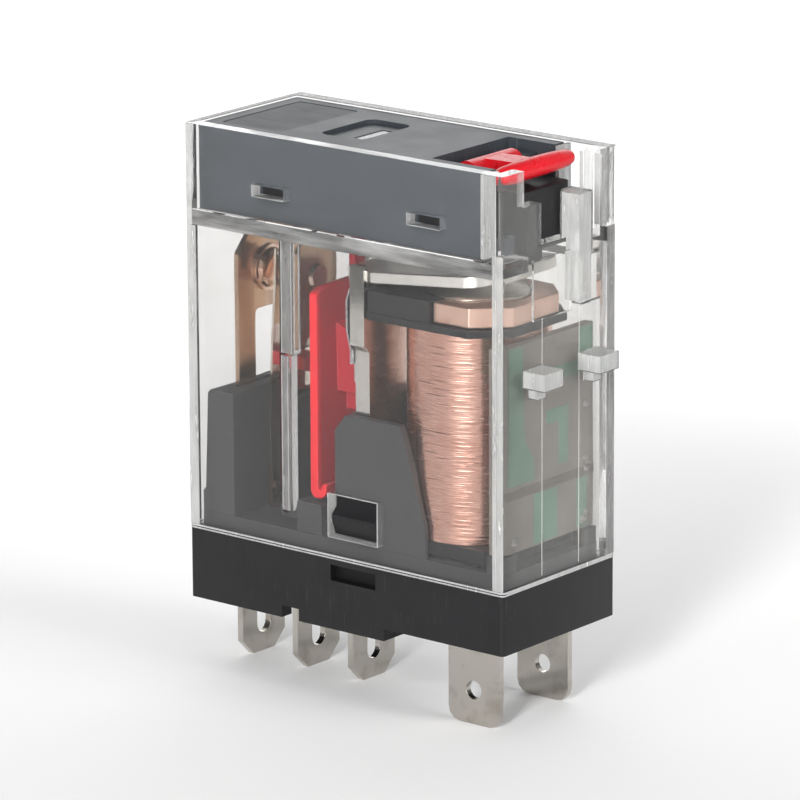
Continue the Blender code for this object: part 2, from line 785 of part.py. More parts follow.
def make_cover():
    outline = rounded(sides(HALF_LENGTH), sides(HALF_WIDTH), CASE_CORNER, 4)
    inner = rounded(INNER_X, sides(INNER_WIDTH), 0.15, 2)
    cover = prism("Z", outline, SEAM + GAP, CASE_TOP)
    cut(cover, prism("Z", inner, SEAM - 1, CEILING_LOW))
    cut(cover, prism("Z", inner, CEILING_HIGH, CASE_TOP + 1))
    rib_pair(cover)
    through_ceiling = (CEILING_LOW - OVER, CEILING_HIGH + OVER)
    cut(cover, box((-5.75, -3.4), grown(FINGER_Y, 0.2), through_ceiling))
    plunger_hole = (PLUNGER_X[0] - PLUNGER_GAP, INNER_LENGTH)
    cut(cover, box(plunger_hole, sides(PLUNGER_HALF + PLUNGER_GAP), through_ceiling))
    end_wall_openings(cover)
    tongue(cover)
    hooks(cover)
    for y in both_sides(INNER_WIDTH - OVER, HALF_WIDTH + OVER):
        for centre in SIDE_SLOT_CENTRES:
            slot = (centre - SIDE_SLOT_HALF, centre + SIDE_SLOT_HALF)
            cut(cover, box(slot, y, SIDE_SLOT_Z))
        cut(cover, box(grown(LATCH_X, 0.25), y, grown(LATCH_Z, 0.15)))
    return cover


def make_insert():
    insert = prism("Z", rounded(INSERT_X, sides(INSERT_HALF), 0.2, 2), *INSERT_Z)
    below, top = INSERT_Z[0] - OVER, INSERT_Z[1]
    above, past_end = top + OVER, INSERT_X[1] + OVER
    cut(insert, box((-12.4, 5.6), sides(4.4), (below, 34.5)))
    cut(insert, box((BAY_START, past_end), sides(BAY_HALF), (BAY_FLOOR, above)))
    shaft = (PLUNGER_X[0] - PLUNGER_GAP, past_end)
    cut(insert, box(shaft, sides(PLUNGER_HALF + PLUNGER_GAP), (below, BAY_FLOOR + OVER)))
    # The bay's far wall stops short of the coil end.
    far_end = (INSERT_X[1] - FAR_WALL_SHORT, past_end)
    cut(insert, box(far_end, (BAY_HALF - OVER, INSERT_HALF + OVER), (BAY_FLOOR, above)))
    label_seat = rounded(LABEL_X, sides(LABEL_HALF), 0.3, 2)
    cut(insert, prism("Z", label_seat, top - LABEL_DEPTH, above))
    cut(insert, prism("Z", rounded(DISH_X, sides(DISH_HALF), 0.7, 3), top - DISH_DEPTH, above))
    cut(insert, box(WINDOW_X, sides(WINDOW_HALF), (34.3, above)))
    for y in both_sides(LEVER_HUB_HALF + 0.15, BAY_HALF + OVER):
        join(insert, box(CHEEK_X, y, (BAY_FLOOR - OVER, CHEEK_TOP)))
    bore = disc(*LEVER_PIVOT, PIN_RADIUS + GAP, 16)
    cut(insert, prism("Y", bore, -4.9, 4.9))
    for y in both_sides(INSERT_HALF - OVER, 5.98):
        for centre in SIDE_SLOT_CENTRES:
            nib = (centre + NIB_REACH[0], centre + NIB_REACH[1])
            join(insert, box(nib, y, NIB_Z))
    return insert


def make_label():
    outline = rounded(grown(LABEL_X, -GAP), sides(LABEL_HALF - GAP), 0.3, 2)
    return prism("Z", outline, INSERT_Z[1] - LABEL_DEPTH + 0.03, INSERT_Z[1] - 0.03)


def make_lever():
    lever = prism("Y", disc(*LEVER_PIVOT, 1.0, 24), *sides(LEVER_HUB_HALF))
    stem = [
        (LEVER_PIVOT[0], 33.6),
        (LEVER_BAR_X, 34.3),
        (LEVER_BAR_X, 35.15),
        (LEVER_PIVOT[0] + 0.2, 35.05),
    ]
    join(lever, prism("Y", stem, -1.05, 1.05))
    half_profile = [(LEVER_BAR_HALF, 0.3), (4.05, 0.5), (3.6, 0.62), (2.4, 0.7), (0.8, 0.74)]
    profile = [(-y, radius) for y, radius in half_profile] + half_profile[::-1]
    join(lever, turned("Y", (LEVER_BAR_X, LEVER_BAR_Z), profile, 20))
    bore = disc(*LEVER_PIVOT, PIN_RADIUS + 0.1, 16)
    return cut(lever, prism("Y", bore, *sides(LEVER_HUB_HALF + OVER)))


def make_lever_pin():
    return prism("Y", disc(*LEVER_PIVOT, PIN_RADIUS, 16), -4.85, 4.85)


def make_plunger():
    block = prism("Z", rounded(PLUNGER_X, sides(PLUNGER_HALF), 0.4, 2), *PLUNGER_Z)
    return join(block, box(PLUNGER_STEM_X, sides(1.5), (PLUNGER_STEM_LOW, PLUNGER_Z[0] + OVER)))


def make_board():
    return box(BOARD_X, sides(BOARD_HALF), BOARD_Z)


def make_led():
    profile = [(11.35, 0.3), (11.5, 0.55), (11.75, 0.7), (12.05, 0.72), (12.05, 0.85), (12.4, 0.85)]
    return turned("X", (4.1, 20.6), profile, 16)


def axial_component(z, radius, half, band):
    """An upright axial body with its two leads bent back to the board."""
    x, y = COMPONENT_PLACE
    lead_y = (y - LEAD_HALF, y + LEAD_HALF)
    profile = [
        (z - half, radius * 0.7),
        (z - half + 0.15, radius),
        (z - half + band, radius),
        (z - half + band + 0.15, radius * 0.88),
        (z + half - band - 0.15, radius * 0.88),
        (z + half - band, radius),
        (z + half - 0.15, radius),
        (z + half, radius * 0.7),
    ]
    component = turned("Z", (x, y), profile, 16)
    for end in (z - half, z + half):
        outward = math.copysign(1, end - z)
        low, high = sorted((end - 0.1 * outward, end + 0.45 * outward))
        join(component, box((x - LEAD_HALF, x + LEAD_HALF), lead_y, (low, high)))
        middle = end + 0.3 * outward
        lead_z = (middle - LEAD_HALF, middle + LEAD_HALF)
        join(component, box((x - LEAD_HALF, BOARD_X[0] - GAP), lead_y, lead_z))
    return component


def build():
    clear_scene()
    root = bpy.data.objects.new("relay", None)
    bpy.context.scene.collection.objects.link(root)
    middle = HOOK_REACH / 2
    root.location = (-middle * MM, 0, -TIP * MM)
    root.scale = (MM, MM, MM)

    armature = body_empty("armature_axis", root, ARMATURE_PIVOT)
    card = body_empty("card_axis", root, CARD_PIVOT)
    spring = body_empty("moving_spring_axis", root, LEAF_ROOT)
    lever = body_empty("lever_axis", root, LEVER_PIVOT)
    plunger = body_empty("plunger_axis", root, (sum(PLUNGER_X) / 2, PLUNGER_Z[0]))

    black = material("black moulding", (0.028, 0.028, 0.030), 0.45)
    clear = material("clear moulding", (0.95, 0.96, 0.96), 0.05, alpha=0.3, transmission=1.0)
    grey = material("grey moulding", (0.14, 0.15, 0.16), 0.5)
    panel = material("frosted panel", (0.17, 0.18, 0.18), 0.65)
    tinned = material("tinned copper alloy", (0.60, 0.58, 0.54), 0.3, 1.0)
    silver = material("silver contact", (0.80, 0.68, 0.58), 0.2, 1.0)
    nickel = material("nickel-plated iron", (0.62, 0.61, 0.58), 0.3, 1.0)
    copper = material("copper", (0.80, 0.42, 0.26), 0.25, 1.0)
    wire = material("enamelled wire", (0.68, 0.30, 0.18), 0.3, 1.0)
    steel = material("steel", (0.55, 0.55, 0.56), 0.3, 1.0)
    red = material("red moulding", (0.75, 0.02, 0.03), 0.35)
    white = material("white moulding", (0.80, 0.80, 0.78), 0.5)
    laminate = material("green laminate", (0.10, 0.26, 0.18), 0.5)
    lens = material("green lens", (0.10, 0.55, 0.20), 0.2)
    ceramic = material("resistor body", (0.35, 0.45, 0.50), 0.5)
    glassy = material("diode body", (0.25, 0.06, 0.03), 0.3)

    finish(soften(make_base(), 0.12, 1), "base", black, root)
    finish(make_cover(), "cover", clear, root, 40)
    finish(make_insert(), "top_insert", grey, root)
    finish(make_label(), "label_panel", panel, root)
    finish(make_terminal_no(), "terminal_no", tinned, root)
    finish(make_contact_no(), "contact_no", silver, root, 40)
    finish(make_terminal_com(), "terminal_com", tinned, root)
    finish(make_terminal_nc(), "terminal_nc", tinned, root)
    finish(make_contact_nc(), "contact_nc", silver, root, 40)
    finish(make_coil_terminal(-1), "coil_terminal_near", tinned, root)
    finish(make_coil_terminal(1), "coil_terminal_far", tinned, root)
    finish(make_bobbin(), "bobbin", black, root, 40)
    finish(make_coil(), "coil_winding", wire, root, 40)
    finish(make_core(), "core", nickel, root, 40)
    finish(make_shading_ring(), "shading_ring", copper, root, 40)
    finish(make_yoke(), "yoke", nickel, root)
    finish(make_return_spring(), "return_spring", steel, root)
    finish(make_spring_rivet(), "spring_rivet", steel, root, 40)
    finish(make_board(), "circuit_board", laminate, root)
    finish(make_led(), "led", lens, root, 40)
    finish(axial_component(15.0, 0.75, 1.7, 0.6), "resistor", ceramic, root, 40)
    finish(axial_component(10.6, 0.6, 1.3, 0.45), "diode", glassy, root, 40)
    finish(make_lever_pin(), "lever_pin", steel, root, 40)

    finish(make_armature(), "armature", nickel, armature)
    finish(make_card(), "card", red, card)
    finish(make_flag(), "indicator_flag", white, card)
    finish(make_moving_spring(), "moving_spring", tinned, spring)
    finish(make_moving_contact(), "moving_contact", silver, spring, 40)
    finish(make_lever(), "test_lever", red, lever, 40)
    finish(soften(make_plunger(), 0.15, 2), "test_plunger", black, plunger)


build()
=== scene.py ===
"""Looks of a slim plug-in control relay: materials, fine edges, coil wire, solder, floor, light and camera.

Lengths are in millimetres in the case frame, as the CAD part has it: X runs from the contact end to the
coil end, Y across the body, and Z up from the rim. case_point() takes them to the row frame, in metres.
"""

import math
import random

import bmesh
import bpy
from mathutils import Matrix, Vector


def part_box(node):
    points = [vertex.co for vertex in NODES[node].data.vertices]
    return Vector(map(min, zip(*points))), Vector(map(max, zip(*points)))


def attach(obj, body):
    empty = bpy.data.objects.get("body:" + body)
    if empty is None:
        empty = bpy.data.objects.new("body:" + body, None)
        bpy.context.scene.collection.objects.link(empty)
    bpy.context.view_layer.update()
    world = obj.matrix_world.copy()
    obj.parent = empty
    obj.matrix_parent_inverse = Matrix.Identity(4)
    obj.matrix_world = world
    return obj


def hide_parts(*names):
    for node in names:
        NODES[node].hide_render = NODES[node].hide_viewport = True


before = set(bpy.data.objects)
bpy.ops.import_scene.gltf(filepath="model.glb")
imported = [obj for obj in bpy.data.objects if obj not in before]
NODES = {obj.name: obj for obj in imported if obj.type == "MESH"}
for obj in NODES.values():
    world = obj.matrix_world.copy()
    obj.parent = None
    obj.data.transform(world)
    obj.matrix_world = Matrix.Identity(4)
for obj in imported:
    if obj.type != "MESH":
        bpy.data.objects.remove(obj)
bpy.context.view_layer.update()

MM = 0.001
CASE_HALF_LENGTH = 14.5
CASE_ORIGIN = Vector((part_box("cover")[0].x + CASE_HALF_LENGTH * MM, 0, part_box("base")[0].z))


def case_point(x, y, z):
    return CASE_ORIGIN + Vector((x, y, z)) * MM


def case_box(node):
    """A CAD node's lowest and highest corner in the case frame, in millimetres."""
    low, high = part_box(node)
    return (low - CASE_ORIGIN) / MM, (high - CASE_ORIGIN) / MM


COVER_LOW, COVER_HIGH = case_box("cover")
END, SIDE, TOP = CASE_HALF_LENGTH, COVER_HIGH.y, COVER_HIGH.z
SIDE_WALL = 1.0
CONTACT_END_WALL = 0.5
CEILING = 28.0
END_WALL_TOP = 29.8
HAZE_FOOT = COVER_LOW.z + 0.32
HOOK_Y = 3.2

# Where a tone changes, from and to, in millimetres of the row frame: a height, and two distances from the
# middle plane.
RIM_HEIGHT = (10.6, 11.2)
COVER_INSIDE = (5.4, 5.5)
# Painted shade: the card's tone deepens between these two distances towards its middle, where its side lies
# in shade between the coil and the yoke.
CARD_SHADE_EDGE = (3.9, 4.35)

# ---------------------------------------------------------------- materials


# Most of a noise texture's values lie in this band.
SPREAD = (0.3, 0.7)


class Surface:
    """A Principled material built up node by node. Texture sizes are in millimetres on the object."""

    def __init__(self, name, **settings):
        self.material = bpy.data.materials.new(name)
        self.material.use_nodes = True
        self.tree = self.material.node_tree
        self.shader = self.tree.nodes["Principled BSDF"]
        self.place = self.tree.nodes.new("ShaderNodeTexCoord").outputs["Object"]
        self.bumps = 0
        for socket, value in settings.items():
            self.shader.inputs[socket.replace("_", " ")].default_value = value

    def node(self, kind, inputs, **settings):
        made = self.tree.nodes.new(kind)
        for key, value in settings.items():
            setattr(made, key, value)
        for key, value in inputs.items():
            if isinstance(value, bpy.types.NodeSocket):
                self.tree.links.new(value, made.inputs[key])
            else:
                made.inputs[key].default_value = value
        return made

    def stretched(self, size):
        """Coordinates in which one unit is size millimetres, the same or different along X, Y and Z."""
        lengths = (size, size, size) if isinstance(size, (int, float)) else size
        scale = [1 / (MM * length) for length in lengths]
        return self.node("ShaderNodeMapping", {"Vector": self.place, "Scale": scale}).outputs["Vector"]

    def noise(self, size, detail=3.0, rough=0.55):
        inputs = {"Vector": self.stretched(size), "Scale": 1.0, "Detail": detail, "Roughness": rough}
        return self.node("ShaderNodeTexNoise", inputs).outputs["Fac"]

    def spots(self, size):
        inputs = {"Vector": self.stretched(size), "Scale": 1.0}
        return self.node("ShaderNodeTexVoronoi", inputs).outputs["Distance"]

    def axis(self, letter):
        """Place along one axis, in millimetres of the row frame."""
        return self.node("ShaderNodeSeparateXYZ", {"Vector": self.stretched(1.0)}).outputs[letter]

    def between(self, value, low, high, to_low=0.0, to_high=1.0):
        """A value that runs from to_low to to_high while the given one runs from low to high."""
        inputs = {"Value": value, "From Min": low, "From Max": high, "To Min": to_low, "To Max": to_high}
        return self.node("ShaderNodeMapRange", inputs, clamp=True).outputs["Result"]

    def maths(self, operation, first, second=0.0):
        return self.node("ShaderNodeMath", {0: first, 1: second}, operation=operation).outputs["Value"]

    def blend(self, share, first, second):
        """A colour that goes from first to second. Either is a colour or a socket."""
        made = self.node("ShaderNodeMix", {}, data_type="RGBA")
        for index, value in ((0, share), (6, first), (7, second)):
            if isinstance(value, bpy.types.NodeSocket):
                self.tree.links.new(value, made.inputs[index])
            else:
                made.inputs[index].default_value = value if index == 0 else (*value, 1.0)
        return made.outputs[2]

    def colour(self, value):
        self.tree.links.new(value, self.shader.inputs["Base Color"])

    def roughness(self, value):
        self.tree.links.new(value, self.shader.inputs["Roughness"])

    def pass_light(self, colour):
        """Lets lamps shine through the surface, a little dimmed."""
        through = self.node("ShaderNodeBsdfTransparent", {"Color": (*colour, 1.0)})
        path = self.node("ShaderNodeLightPath", {})
        mix = self.node("ShaderNodeMixShader", {
            "Fac": path.outputs["Is Shadow Ray"],
            1: self.shader.outputs["BSDF"],
            2: through.outputs["BSDF"],
        })
        self.tree.links.new(mix.outputs["Shader"], self.tree.nodes["Material Output"].inputs["Surface"])

    def bump(self, height, depth):
        """Adds relief, depth millimetres from the lowest to the highest value."""
        inputs = {"Height": height, "Distance": depth * MM, "Strength": 1.0}
        normal = self.shader.inputs["Normal"]
        if self.bumps:
            inputs["Normal"] = normal.links[0].from_socket
        made = self.node("ShaderNodeBump", inputs)
        self.tree.links.new(made.outputs["Normal"], normal)
        self.bumps += 1


def moulded(name, colour, worn, roughness, inner=None, brushed=None):
    """Moulded plastic with scuffs and dust.

    Inner is the tone that it has inside the cover, and brushed the tone of streaks where it is rubbed.
    """
    made = Surface(name, Specular_IOR_Level=0.22)
    cloud = made.noise(3.0, 4.0)
    scuff = made.between(made.noise((0.12, 0.12, 3.0), 4.0, 0.7), 0.60, 0.72)
    dust = made.between(made.spots(0.9), 0.03, 0.07, 0.5, 0.0)
    fine = made.noise(0.22, 2.0)
    tone = made.blend(made.between(cloud, *SPREAD), colour, [c * 1.25 for c in colour])
    if brushed:
        rub = made.noise((3.5, 0.22, 1.0), 4.0, 0.7)
        tone = made.blend(made.between(rub, 0.5, 0.66), tone, brushed)
    if inner:
        above_rim = made.between(made.axis("Z"), *RIM_HEIGHT)
        within_cover = made.between(made.maths("ABSOLUTE", made.axis("Y")), *COVER_INSIDE, 1.0, 0.0)
        tone = made.blend(made.maths("MULTIPLY", above_rim, within_cover), tone, inner)
    marks = made.maths("MAXIMUM", made.maths("MULTIPLY", scuff, 0.6), dust)
    made.colour(made.blend(marks, tone, worn))
    swing = 0.04
    rough = made.between(cloud, *SPREAD, roughness - swing, roughness + swing)
    made.roughness(made.maths("ADD", rough, made.maths("MULTIPLY", scuff, 0.12)))
    made.bump(fine, 0.0003)
    return made.material


def sheet_metal(name, colour, dull, roughness, run=(0.06, 0.06, 2.5), inner=None):
    """Plated or rolled metal: streaks, dull patches and pits. Inner is the bare tone above the rim."""
    made = Surface(name, Metallic=1.0)
    streak = made.noise(run, 3.0, 0.6)
    patch = made.between(made.noise(1.8, 4.0, 0.6), 0.50, 0.75)
    pits = made.between(made.spots(0.6), 0.0, 0.10, 1.0, 0.0)
    tone = made.blend(patch, colour, dull)
    tone = made.blend(made.maths("MULTIPLY", pits, 0.4), tone, [c * 0.5 for c in dull])
    if inner:
        bare = made.blend(made.between(streak, 0.35, 0.65), inner, [c * 0.8 for c in inner])
        tone = made.blend(made.between(made.axis("Z"), *RIM_HEIGHT), tone, bare)
    made.colour(tone)
    swing = 0.05
    rough = made.between(streak, *SPREAD, roughness - swing, roughness + swing)
    made.roughness(made.maths("ADD", rough, made.maths("MULTIPLY", patch, 0.1)))
    made.bump(streak, 0.0012)
    made.bump(made.noise(4.0, 1.0), 0.012)
    return made.material


def clear_moulding():
    """Clear polycarbonate with faint flow waves and hairline scuffs. Lamps shine through it."""
    made = Surface("clear_moulding", Transmission_Weight=0.985, IOR=1.26)
    wave = made.noise(5.0, 2.0)
    hair = made.between(made.noise((0.12, 0.12, 2.2), 6.0, 0.75), 0.60, 0.80)
    made.colour(made.blend(made.between(wave, *SPREAD), (0.80, 0.795, 0.79), (0.835, 0.83, 0.825)))
    made.roughness(made.between(hair, 0.0, 1.0, 0.0, 0.05))
    made.bump(wave, 0.03)
    made.bump(hair, 0.0015)
    made.pass_light((0.93, 0.94, 0.94))
    return made.material


def hazy_film():
    """The slight cloudiness of the end walls, which softens what lies behind them."""
    made = Surface("clear_film", Transmission_Weight=0.965, IOR=1.02)
    cloud = made.noise((2.0, 2.0, 4.0), 4.0, 0.6)
    made.colour(made.blend(made.between(cloud, *SPREAD), (0.88, 0.88, 0.86), (0.98, 0.98, 0.97)))
    made.roughness(made.between(cloud, *SPREAD, 0.1, 0.2))
    made.pass_light((0.97, 0.97, 0.97))
    return made.material


def milky(name, colour, streaky, run=(0.3, 0.3, 2.5)):
    """Clear plastic where it scatters light, with streaks.

    Streaky is how bright the streaks are beside the colour, and run is their size along each axis.
    """
    made = Surface(name, Transmission_Weight=0.55, IOR=1.2)
    streak = made.noise(run, 4.0, 0.65)
    made.colour(made.blend(made.between(streak, 0.35, 0.65), colour, [c * streaky for c in colour]))
    made.roughness(made.between(streak, *SPREAD, 0.1, 0.3))
    made.bump(streak, 0.004)
    return made.material


def copper_wire():
    """Enamelled winding wire: pinkish copper, darker in patches, with dull and bright rows."""
    made = Surface("enamelled_wire", Metallic=1.0)
    row = made.noise((1.2, 1.2, 0.05), 2.0, 0.6)
    patch = made.noise((2.5, 2.5, 4.0), 3.0)
    tone = made.blend(made.between(row, *SPREAD), (0.72, 0.37, 0.29), (0.93, 0.60, 0.49))
    made.colour(made.blend(made.between(patch, 0.45, 0.75, 0.0, 0.5), tone, (0.60, 0.27, 0.18)))
    made.roughness(made.between(row, *SPREAD, 0.17, 0.28))
    return made.material


def laminate(name, colour, light):
    """Circuit board sheet or its solder mask: a woven ground that shows through a cloudy coat."""
    made = Surface(name)
    weave = made.noise(0.35, 2.0)
    cloud = made.noise(2.5, 3.0)
    tone = made.blend(made.between(cloud, *SPREAD), colour, [0.8 * c for c in colour])
    made.colour(made.blend(made.between(weave, 0.35, 0.65, 0.0, 0.4), tone, light))
    made.roughness(made.between(cloud, *SPREAD, 0.35, 0.5))
    made.bump(weave, 0.006)
    return made.material


def glossy(name, colour, deep, roughness, middle=None):
    """Glossy moulding with an orange-peel skin. Middle is painted shade: a deeper tone away from the card's
    two edges.
    """
    made = Surface(name, Specular_IOR_Level=0.3)
    cloud = made.noise(2.0, 3.0)
    tone = made.blend(made.between(cloud, *SPREAD), colour, deep)
    if middle:
        # Painted shade: darker towards the middle plane, away from the card's edges.
        painted_shade_share = made.between(made.maths("ABSOLUTE", made.axis("Y")), *CARD_SHADE_EDGE, 1.0, 0.0)
        tone = made.blend(painted_shade_share, tone, middle)
    made.colour(tone)
    made.roughness(made.between(made.noise(0.5, 3.0), *SPREAD, roughness - 0.05, roughness + 0.08))
    made.bump(cloud, 0.015)
    return made.material


def floor_paint():
    """Pale studio paint, a little uneven."""
    made = Surface("floor_paint", Emission_Color=(1, 1, 1, 1), Emission_Strength=0.08)
    cloud = made.noise(60.0, 3.0)
    made.colour(made.blend(cloud, (0.86, 0.86, 0.86), (0.90, 0.90, 0.90)))
    made.roughness(made.between(cloud, *SPREAD, 0.75, 0.9))
    return made.material


SOOT, WORN_SOOT = (0.012, 0.012, 0.013), (0.05, 0.05, 0.051)
BLACK = moulded("black_moulding", SOOT, WORN_SOOT, 0.42, inner=(0.040, 0.040, 0.042))
COAL = moulded("bobbin_moulding", SOOT, WORN_SOOT, 0.42)
GREY = moulded("grey_moulding", (0.044, 0.050, 0.058), (0.20, 0.205, 0.21), 0.42)
RUBBED_PANEL = (0.032, 0.037, 0.038)
PANEL = moulded("frosted_panel", (0.050, 0.056, 0.060), (0.12, 0.125, 0.13), 0.5, brushed=RUBBED_PANEL)
# Painted shade: a near-black skin for recesses that lie in shadow.
SHADE = moulded("painted_shade_moulding", (0.003, 0.003, 0.003), (0.010, 0.010, 0.010), 0.5)
CLEAR = clear_moulding()
# Painted light: a pale milky tone for the clear cover where light gathers in its corners, edges and cut
# faces.
LIT_HAZE = milky("lit_clear_haze", (0.82, 0.82, 0.81), 0.8)
DIM = milky("dim_haze", (0.46, 0.455, 0.45), 0.6)
# Painted light: the pale band where the cover's clear ceiling catches the light.
SHELF = milky("painted_shelf_light", (0.50, 0.495, 0.49), 0.35, (5.0, 5.0, 0.5))
FILM = hazy_film()
EDGE = milky("clear_edge", (0.92, 0.92, 0.91), 0.85)
TIN = sheet_metal("nickel_silver", (0.50, 0.47, 0.43), (0.36, 0.33, 0.29), 0.17, inner=(0.74, 0.51, 0.36))
LEAF = sheet_metal("leaf_alloy", (0.86, 0.78, 0.68), (0.74, 0.60, 0.48), 0.14)
NICKEL = sheet_metal("nickel_plate", (0.80, 0.78, 0.74), (0.66, 0.63, 0.59), 0.16)
PLATE = sheet_metal("armature_plate", (0.93, 0.90, 0.86), (0.80, 0.76, 0.71), 0.34)
STEEL = sheet_metal("spring_steel", (0.60, 0.60, 0.61), (0.44, 0.44, 0.45), 0.28)
SILVER = sheet_metal("silver_contact", (0.92, 0.70, 0.58), (0.80, 0.50, 0.38), 0.12, (0.4, 0.06, 0.06))
COPPER = sheet_metal("copper_plate", (0.98, 0.66, 0.54), (0.84, 0.50, 0.38), 0.33, (2.0, 0.1, 0.1))
WIRE = copper_wire()
RED = glossy("red_moulding", (0.70, 0.012, 0.022), (0.60, 0.010, 0.018), 0.3)
# The card's middle tone is painted shade, where the card lies in shade between the coil and the yoke.
CARD = glossy("card_moulding", (0.68, 0.02, 0.03), (0.58, 0.016, 0.024), 0.35, middle=(0.33, 0.018, 0.028))
WHITE = glossy("white_moulding", (0.82, 0.82, 0.80), (0.74, 0.74, 0.72), 0.4)
BOARD = laminate("board_sheet", (0.145, 0.125, 0.11), (0.19, 0.165, 0.145))
MASK = laminate("green_laminate", (0.09, 0.185, 0.125), (0.12, 0.22, 0.155))
BAND = laminate("board_band", (0.075, 0.06, 0.05), (0.11, 0.09, 0.075))
SOLDER = sheet_metal("solder", (0.45, 0.44, 0.43), (0.32, 0.31, 0.30), 0.3, (0.3, 0.3, 0.3))
LENS = glossy("green_lens", (0.10, 0.50, 0.18), (0.06, 0.38, 0.12), 0.2)
CERAMIC = glossy("resistor_coat", (0.30, 0.42, 0.48), (0.24, 0.35, 0.42), 0.4)
DIODE = glossy("diode_coat", (0.22, 0.05, 0.03), (0.15, 0.03, 0.02), 0.25)

# Each CAD node's material, and the width of its rounded edges in millimetres. At 0 its edges stay sharp.
LOOKS = {
    "base": (BLACK, 0.12),
    "bobbin": (COAL, 0.1),
    "test_plunger": (COAL, 0.0),
    "cover": (CLEAR, 0.12),
    "top_insert": (GREY, 0.1),
    "label_panel": (PANEL, 0.04),
    "terminal_no": (TIN, 0.05),
    "terminal_com": (TIN, 0.05),
    "terminal_nc": (TIN, 0.05),
    "coil_terminal_near": (TIN, 0.05),
    "coil_terminal_far": (TIN, 0.05),
    "moving_spring": (LEAF, 0.0),
    "contact_no": (SILVER, 0.0),
    "contact_nc": (SILVER, 0.0),
    "moving_contact": (SILVER, 0.0),
    "core": (NICKEL, 0.05),
    "yoke": (NICKEL, 0.2),
    "armature": (PLATE, 0.1),
    "shading_ring": (COPPER, 0.1),
    "coil_winding": (WIRE, 0.0),
    "return_spring": (STEEL, 0.0),
    "spring_rivet": (STEEL, 0.0),
    "lever_pin": (STEEL, 0.05),
    "card": (CARD, 0.1),
    "test_lever": (RED, 0.0),
    "indicator_flag": (WHITE, 0.05),
    "circuit_board": (BOARD, 0.04),
    "led": (LENS, 0.05),
    "resistor": (CERAMIC, 0.04),
    "diode": (DIODE, 0.04),
}

BEVEL_STEPS = 2
WELD_MM = 0.001
FLAT_DEGREES = 0.6
EDGE_DEGREES = 32


def dress(name, look, edge):
    """Gives a CAD node its material. Modifiers alone join its split corners and round or crease edges."""
    obj = NODES[name]
    obj.data.materials.clear()
    obj.data.materials.append(look)
    split_normals = obj.data.attributes.get("custom_normal")
    if split_normals:
        obj.data.attributes.remove(split_normals)
    obj.data.shade_smooth()
    weld = obj.modifiers.new("weld", "WELD")
    weld.merge_threshold = WELD_MM * MM
    if edge:
        flatten = obj.modifiers.new("flatten", "DECIMATE")
        flatten.decimate_type = "DISSOLVE"
        flatten.angle_limit = math.radians(FLAT_DEGREES)
        bevel = obj.modifiers.new("edges", "BEVEL")
        bevel.width = edge * MM
        bevel.segments = BEVEL_STEPS
        bevel.limit_method = "ANGLE"
        bevel.angle_limit = math.radians(EDGE_DEGREES)
        bevel.harden_normals = True
        bevel.use_clamp_overlap = True
    else:
        split = obj.modifiers.new("creases", "EDGE_SPLIT")
        split.split_angle = math.radians(EDGE_DEGREES)
        even = obj.modifiers.new("even_shading", "WEIGHTED_NORMAL")
        even.keep_sharp = True


for node_name, (surface, edge_width) in LOOKS.items():
    dress(node_name, surface, edge_width)


# ---------------------------------------------------------------- pieces that the CAD part leaves plain


def piece(name, shape, look):
    """Makes a named object from a bmesh in the row frame, and hangs it on the housing."""
    bmesh.ops.recalc_face_normals(shape, faces=shape.faces)
    mesh = bpy.data.meshes.new(name)
    shape.to_mesh(mesh)
    shape.free()
    obj = bpy.data.objects.new(name, mesh)
    bpy.context.scene.collection.objects.link(obj)
    mesh.materials.append(look)
    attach(obj, "housing")
    return obj


def ring_faces(shape, lower, upper):
    """Quads between two closed rows of vertices of equal length."""
    count = len(lower)
    for i in range(count):
        j = (i + 1) % count
        shape.faces.new((lower[i], lower[j], upper[j], upper[i]))


def circle(shape, centre_x, radii, z):
    """A closed row of vertices round an upright axis, one for each radius."""
    row = []
    for i, r in enumerate(radii):
        angle = math.tau * i / len(radii)
        row.append(shape.verts.new(case_point(centre_x + r * math.cos(angle), r * math.sin(angle), z)))
    return row


def make_coil():
    """The winding: turns of wire laid side by side, no two at quite the same height or depth."""
    low, high = case_box("coil_winding")
    centre_x = (low.x + high.x) / 2
    radius = (high.x - low.x) / 2
    inner = 3.06
    wire = 0.15
    groove = 0.010
    sink = 0.012
    slack = 0.03
    waves = ((2, 0.007), (7, 0.005), (15, 0.004))
    rows_per_turn = 5
    segments = 108
    turns = int((high.z - low.z) / wire)
    pitch = (high.z - low.z) / turns
    rng = random.Random(11)
    depths = [rng.uniform(0.0, sink) for _ in range(turns + 2)]
    swings = [[(cycles, size, rng.uniform(0, math.tau)) for cycles, size in waves] for _ in range(turns + 2)]

    def wound_radius(row, i):
        """The winding's radius in this row of vertices, at this step round it."""
        place = row / rows_per_turn + i / segments
        turn = min(int(place), turns)
        crest = math.sqrt(max(0.0, 1 - (2 * (place - int(place)) - 1) ** 2))
        angle = math.tau * i / segments
        sway = sum(size * math.sin(cycles * angle + start) for cycles, size, start in swings[turn])
        return radius - slack - depths[turn] - groove * (1 - crest) + sway

    shape = bmesh.new()
    rows = []
    for row in range(turns * rows_per_turn + 1):
        radii = [wound_radius(row, i) for i in range(segments)]
        rows.append(circle(shape, centre_x, radii, low.z + row / rows_per_turn * pitch))
    for lower, upper in zip(rows, rows[1:]):
        ring_faces(shape, lower, upper)
    foot, head = (circle(shape, centre_x, [inner] * segments, z) for z in (low.z, high.z))
    ring_faces(shape, foot, rows[0])
    ring_faces(shape, rows[-1], head)
    ring_faces(shape, head, foot)
    obj = piece("coil_wire", shape, WIRE)
    obj.data.shade_smooth()
    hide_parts("coil_winding")


